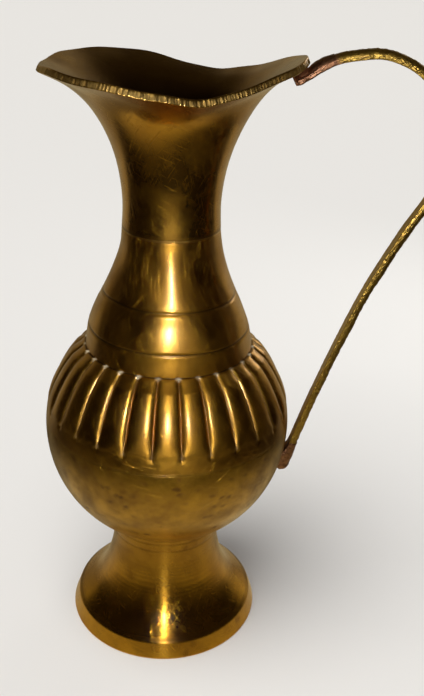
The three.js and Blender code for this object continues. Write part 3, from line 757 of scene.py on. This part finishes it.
# ---------- neck and lip ----------
# Neck: the outer line and its inner offset carry the same share of the lip's wave, so that the wall keeps
# its thickness.
def buildNeck():
    spread = lip["edge"] - neckRadius
    shares = ((0, 0), (-lip["waist"] / spread, 0.18), *lip["bell"], (1, 1))
    outer = curveThrough([(neckRadius + u * spread, neckSeam + v * lip["height"]) for u, v in shares], 300)
    share = ((outer[:, 1] - neckSeam) / lip["height"] - lip["waveStart"]) / (1 - lip["waveStart"])
    outer = np.column_stack([outer, np.clip(share, 0, None) ** 2])
    inner = offsetLine(outer, body["neckWall"])
    boreLow = neckSeam + body["spigot"] + body["spare"]
    inner = inner[inner[:, 1] > boreLow + 0.3][::-1]
    bore, boss = neckRadius - body["neckWall"], neckSpigot + body["slip"]
    profile, starts = joinProfile([
        (outer, lip["outerRows"]), (np.array([outer[-1], inner[0]]), 5),
        (np.vstack([inner, [(bore, boreLow, 0)]]), lip["innerRows"]),
        ([(bore, boreLow, 0), (boss, boreLow, 0)], 2), ([(boss, boreLow, 0), (boss, neckSeam, 0)], 3),
        ([(boss, neckSeam, 0), (neckRadius, neckSeam, 0)], 2)], lip["rounds"])
    angle = ringAngles(lip["columns"])
    r, z, w = profile[:, :1], profile[:, 1:2], profile[:, 2:3]
    row = np.arange(len(profile))[:, None]
    onEdge = np.exp(-((row - starts[1] - 2) / lip["edgeRows"]) ** 4)
    # File strokes across the cut edge: a random depth for each narrow column, drawn out over its neighbours.
    strokes = rng.uniform(-1, 1, lip["columns"])
    before, own, after = lip["drawn"]
    strokes = before * np.roll(strokes, 1) + own * strokes + after * np.roll(strokes, -1)
    slope = outer[-1, :2] - outer[-6, :2]
    slope /= np.hypot(*slope)
    filing = lip["filing"] * strokes * onEdge
    unevenLong, unevenShort = lip["uneven"]
    uneven = unevenLong * np.sin(7 * angle + 0.6) + unevenShort * np.sin(13 * angle + 2.1)
    wobbleLow, wobbleHigh = lip["wobble"]
    wobble = handWork(angle, z, wobbleLow) * (1 - w) + wobbleHigh * w * np.sin(5 * angle + 1)
    radius = r + w * wave(lip["waveRadius"], angle) + filing * slope[0] + wobble * (r > bore - 1)
    height = z + w * wave(lip["waveHeight"], angle) + filing * slope[1] + uneven * w ** 4
    # Painted shade darkens the throat. The file's strokes hold dirt, and painted shade darkens them more at
    # the lip's two ends, which are turned away from the key light. Dirt lies over the seam.
    inside = (row > starts[1] + 5) & (row < starts[3] - 4)
    throatLow, throatHigh, throatRise = lip["throatShade"]
    throatShade = inside * (1 - step(z, throatLow, throatHigh + throatRise * np.sin(angle) ** 2))
    least, more = lip["edgeDirtAndShade"]
    lowBand, highBand = lip["strokeBand"]
    strokeDirtAndShade = (least + more * np.abs(np.cos(angle))) * onEdge * step(-strokes, lowBand, highBand)
    seamGrime = lip["seamGrime"] * np.exp(-((z - neckSeam - 0.15) / 0.2) ** 2) * (row < 8)
    marks = {"grimeAndShade": np.clip(throatShade + strokeDirtAndShade + seamGrime, 0, 1), "filed": onEdge}
    return gridMesh("neck_and_lip", turn(radius, height, angle), loopRows=True, marks=marks)


# ---------- braze at the handle's ends ----------
# Each swelling is a height, its place along the sleeve and its half length there, as shares of the sleeve.
upperBraze = {
    "from": 0.5, "to": 10.5, "rows": 90, "start": 0.05, "fade": 0.7, "grow": 0.22,
    "swelling": (0.12, 0.3, 0.2), "shy": 0.08, "lift": (0.85, 0.26, 0.2),
}
lowerBraze = {
    "from": -8.5, "to": -0.2, "rows": 90, "tipRows": 12, "tip": 14,
    "start": (0.05, 0.5), "end": (0.82, 1.0),
    "grow": 0.36, "shy": 0.05, "tipLoss": 1.15, "tipRun": (0.88, 1), "lift": 0.75, "liftRun": (0.1, 0.5),
    "liftEnd": (0.9, 1),
}


# Sleeve of filler round the strap between two places along it: grow is its thickness over the section.
def brazeSleeve(name, line, grow, lift):
    section, size, around = strapSection()
    down = np.linspace(0, 0.999, len(line))[:, None]  # short of 1, where the lumps begin again
    rough = 0.11 * lumps(around, down, 6, 9) + 0.07 * lumps(around, down, 15, 26)
    rows = sweep(line, section, 1 + (grow + rough * step(grow, 0, 0.3)) / size, lift)
    return gridMesh(name, rows, start=rows[0].mean(0), end=rows[-1].mean(0))


# Part of the handle's middle line, measured from its end under the lip, or back from its lower end.
def pieceOfLine(start, end, count, fromLowerEnd=False):
    line, s = handleLine(3000)
    return pointsAt(line, s, np.linspace(start, end, count) + (s[-1] if fromLowerEnd else 0))


def swelling(t, high, at, half):
    return high * np.exp(-((t - at) / half) ** 2)


def buildBraze():
    look = upperBraze
    line = pieceOfLine(look["from"], look["to"], look["rows"])
    t = np.linspace(0, 1, len(line))[:, None]
    grow = look["grow"] * step(t, 0, look["start"]) * (1 - step(t, look["fade"], 1))
    grow = grow + swelling(t, *look["swelling"]) - look["shy"]
    lift = -swelling(t, *look["lift"])  # outwards, up to the lip's underside
    finish(brazeSleeve("upper_braze_run", line, grow, lift), copperBraze, "braze", "handle_braze_upper")
    look = lowerBraze
    line = pieceOfLine(look["from"], look["to"], look["rows"], fromLowerEnd=True)
    tip = np.linspace(1, look["tip"], look["tipRows"])[:, None]
    line = np.vstack([line, line[-1] + (line[-1] - line[-2]) * tip])
    t = np.linspace(0, 1, len(line))[:, None]
    grow = look["grow"] * step(t, *look["start"]) * np.sqrt(1 - step(t, *look["end"]))
    grow = grow - look["shy"] - look["tipLoss"] * step(t, *look["tipRun"])
    lift = look["lift"] * step(t, *look["liftRun"]) * (1 - step(t, *look["liftEnd"]))  # inwards, to the belly
    finish(brazeSleeve("lower_braze_run", line, grow, lift), copperBraze, "braze", "handle_braze_lower")


print("bowl, shoulder, neck")
finish(buildBowl(), bowlBrass, "turned_brass", "bowl")
finish(buildShoulder(), shoulderBrass, "turned_brass", "shoulder")
finish(buildNeck(), turnedBrass, "turned_brass", "neck")
low, high = bellySeam - brazeGap / 2, bellySeam + brazeGap / 2
lowEdge, highEdge = (ball(bowlRadius, h)[0] - 0.02 for h in (low, high))
bellyBore = bellySpigot + body["slip"]
section = [(lowEdge, low), (highEdge, high), (bellyBore, high), (bellyBore, low)]
finish(brazeRing("belly_seam", section, 300, 0.01), bowlBrass, "seam_braze", "belly_braze")
edge, bore, low = neckRadius - 0.04, neckSpigot + body["slip"], neckSeam - brazeGap
section = [(edge, low), (edge, neckSeam), (bore, neckSeam), (bore, low)]
finish(brazeRing("neck_seam", section, 240, 0.03), seamBrass, "seam_braze", "neck_braze")
print("handle and braze")
finish(buildHandle(), castBrass, "cast_brass", "handle")
buildBraze()

# ---------- stage: pale floor, soft lights, and surroundings that only reflections see ----------
stage = {
    "floor": "#ebe8e3", "floorHalf": 6000, "cardHigh": 0.4, "glowRadius": (58, 150), "shareFrom": (30, 80),
    "rearRun": (110, 260), "room": "#1a130c", "pale": "#e4d8ac", "nearGlow": 0.68, "rearGlow": (0.2, 0.45),
    "roomRadius": 3500, "behind": (58, 69), "paleGlow": 0.36, "paleLow": 0.55, "paleFull": (2, 10),
    "paleEnd": (24, 48), "ceiling": 0.035, "ceilingRise": (40, 60), "world": "#e9eaec", "worldPower": 0.35,
    "sun": 2.4, "sunAngle": 50, "backSize": 120, "backPower": 0.1,
    "keySize": 14, "keyPower": 0.3, "keyDrop": 22, "keyColour": (0.92, 0.96, 1.12),
}
# Camera: where it stands from the bowl's axis, and how it is turned. A 45 mm lens on a 36 mm frame.
view = {
    "out": 211.2, "azimuth": -83.57, "height": 186.35, "heading": 93.29, "down": 25.64, "roll": 2.46,
    "lens": 45.0, "sensor": 36,
}


def buildFloor():
    half = stage["floorHalf"] * mm
    corners = [(-half, -half, 0), (half, -half, 0), (half, half, 0), (-half, half, 0)]
    mesh = bpy.data.meshes.new("floor")
    mesh.from_pydata(corners, [], [(0, 1, 2, 3)])
    material = bpy.data.materials.new("pale matte paper")
    material.use_nodes = True
    shader = material.node_tree.nodes["Principled BSDF"]
    shader.inputs["Base Color"].default_value = linear(stage["floor"])
    shader.inputs["Roughness"].default_value = 0.9
    shader.inputs["Specular IOR Level"].default_value = 0.1
    mesh.materials.append(material)
    placed("floor", mesh)


# Painted reflections: glowing sheets, no lamps, that only reflections see. A card on the floor glows close to
# the ewer and is dark further out in front, and a room is dim in front and pale behind. The metal then
# mirrors what looks like a lit table in a dim room.
def reflectionOnly(name, rows, glow):
    piece = gridMesh(name, rows, marks={"glow": glow})
    material, tree = bareMaterial(name + " light")
    glow = add(tree, "ShaderNodeAttribute", attribute_name="glow").outputs["Fac"]
    colour = add(tree, "ShaderNodeMix", {6: linear(stage["room"]), 7: linear(stage["pale"])}, {0: glow},
                 data_type="RGBA").outputs[2]
    light = add(tree, "ShaderNodeEmission", {"Strength": 1.0}, {"Color": colour}).outputs[0]
    add(tree, "ShaderNodeOutputMaterial", None, {"Surface": light})
    piece.data.materials.append(material)
    piece.visible_camera = piece.visible_diffuse = piece.visible_shadow = False
    piece.visible_transmission = piece.visible_volume_scatter = False


# How far a direction lies behind the ewer, seen from the camera: 1 straight behind, 0 towards the camera.
def rearShare(angle):
    off = np.degrees(np.abs(np.angle(np.exp(1j * (angle - math.radians(view["azimuth"] + 180))))))
    return 1 - step(off, *stage["behind"])


def buildCard():
    # Painted reflection: the card's glow follows its distance from the ewer and, through rearShare, its
    # direction from the camera.
    near, far = stage["glowRadius"]
    outer = [700, stage["roomRadius"]]
    radii = np.concatenate([[12], np.linspace(near, far, 14), np.linspace(140, 280, 8), outer])[:, None]
    angle = ringAngles(96)[None, :]
    nearRear, farRear = stage["rearGlow"]
    rear = nearRear + (farRear - nearRear) * step(radii, *stage["rearRun"])
    share = rearShare(angle) * step(radii, *stage["shareFrom"])
    front = stage["nearGlow"] * (1 - step(radii, near, far))
    reflectionOnly("glowing reflection card", turn(radii, stage["cardHigh"], angle), front * (1 - share) + rear * share)


def buildRoom():
    angle = ringAngles(96)[None, :]
    degrees = np.concatenate([np.linspace(-1, 45, 24), np.linspace(50, 88, 8)])[:, None]
    rise = np.radians(degrees)
    radius = stage["roomRadius"]
    pale = stage["paleLow"] + (1 - stage["paleLow"]) * step(degrees, *stage["paleFull"])
    pale = stage["paleGlow"] * rearShare(angle) * pale * (1 - step(degrees, *stage["paleEnd"]))
    pale = pale + stage["ceiling"] * step(degrees, *stage["ceilingRise"])
    reflectionOnly("room", turn(radius * np.cos(rise), radius * np.sin(rise), angle), pale)


def addLight(name, kind, place, aim, power, size=None, angle=None, glossy=True):
    light = bpy.data.lights.new(name, kind)
    light.energy = power
    if kind == "AREA":
        light.size = size * mm
    if angle is not None:
        light.angle = math.radians(angle)
    lamp = placed(name, light)
    lamp.location = Vector(place) * mm
    lamp.rotation_euler = (Vector(aim) - Vector(place)).to_track_quat("-Z", "Y").to_euler()
    lamp.visible_glossy = glossy
    return lamp


def buildCamera():
    lens = bpy.data.cameras.new("camera")
    lens.lens = view["lens"]
    lens.sensor_width = view["sensor"]
    lens.clip_start = 0.01
    camera = placed("camera", lens)
    turnTo, down, roll = (math.radians(view[k]) for k in ("heading", "down", "roll"))
    forward = Vector((math.cos(turnTo) * math.cos(down), math.sin(turnTo) * math.cos(down), -math.sin(down)))
    level = Vector((math.sin(turnTo), -math.cos(turnTo), 0))
    upright = level.cross(forward)
    right = math.cos(roll) * level + math.sin(roll) * upright
    up = math.cos(roll) * upright - math.sin(roll) * level
    place = math.radians(view["azimuth"])
    turned = Matrix((right, up, -forward)).transposed().to_4x4()
    where = Vector((axisX + view["out"] * math.cos(place), view["out"] * math.sin(place), view["height"]))
    camera.matrix_world = Matrix.Translation(where * mm) @ turned
    bpy.context.scene.camera = camera
    return where


print("stage")
eye = buildCamera()
buildFloor()
buildCard()
buildRoom()
middle = (axisX, 0, 80)
sunPlace = (-400, -500, 1500)
addLight("soft daylight", "SUN", sunPlace, middle, stage["sun"], angle=stage["sunAngle"], glossy=False)
keyPlace = (eye.x + 2, eye.y, eye.z - stage["keyDrop"])
key = addLight("key softbox", "AREA", keyPlace, middle, stage["keyPower"], size=stage["keySize"])
key.visible_diffuse = False
key.data.color = stage["keyColour"]
backPlace = (axisX + 210, 280, 190)
addLight("back softbox", "AREA", backPlace, middle, stage["backPower"], size=stage["backSize"])
world = bpy.data.worlds.new("pale surroundings")
bpy.context.scene.world = world
world.use_nodes = True
background = world.node_tree.nodes["Background"]
background.inputs["Color"].default_value = linear(stage["world"])
background.inputs["Strength"].default_value = stage["worldPower"]
world.cycles_visibility.glossy = False
bpy.context.scene.view_settings.view_transform = "Standard"
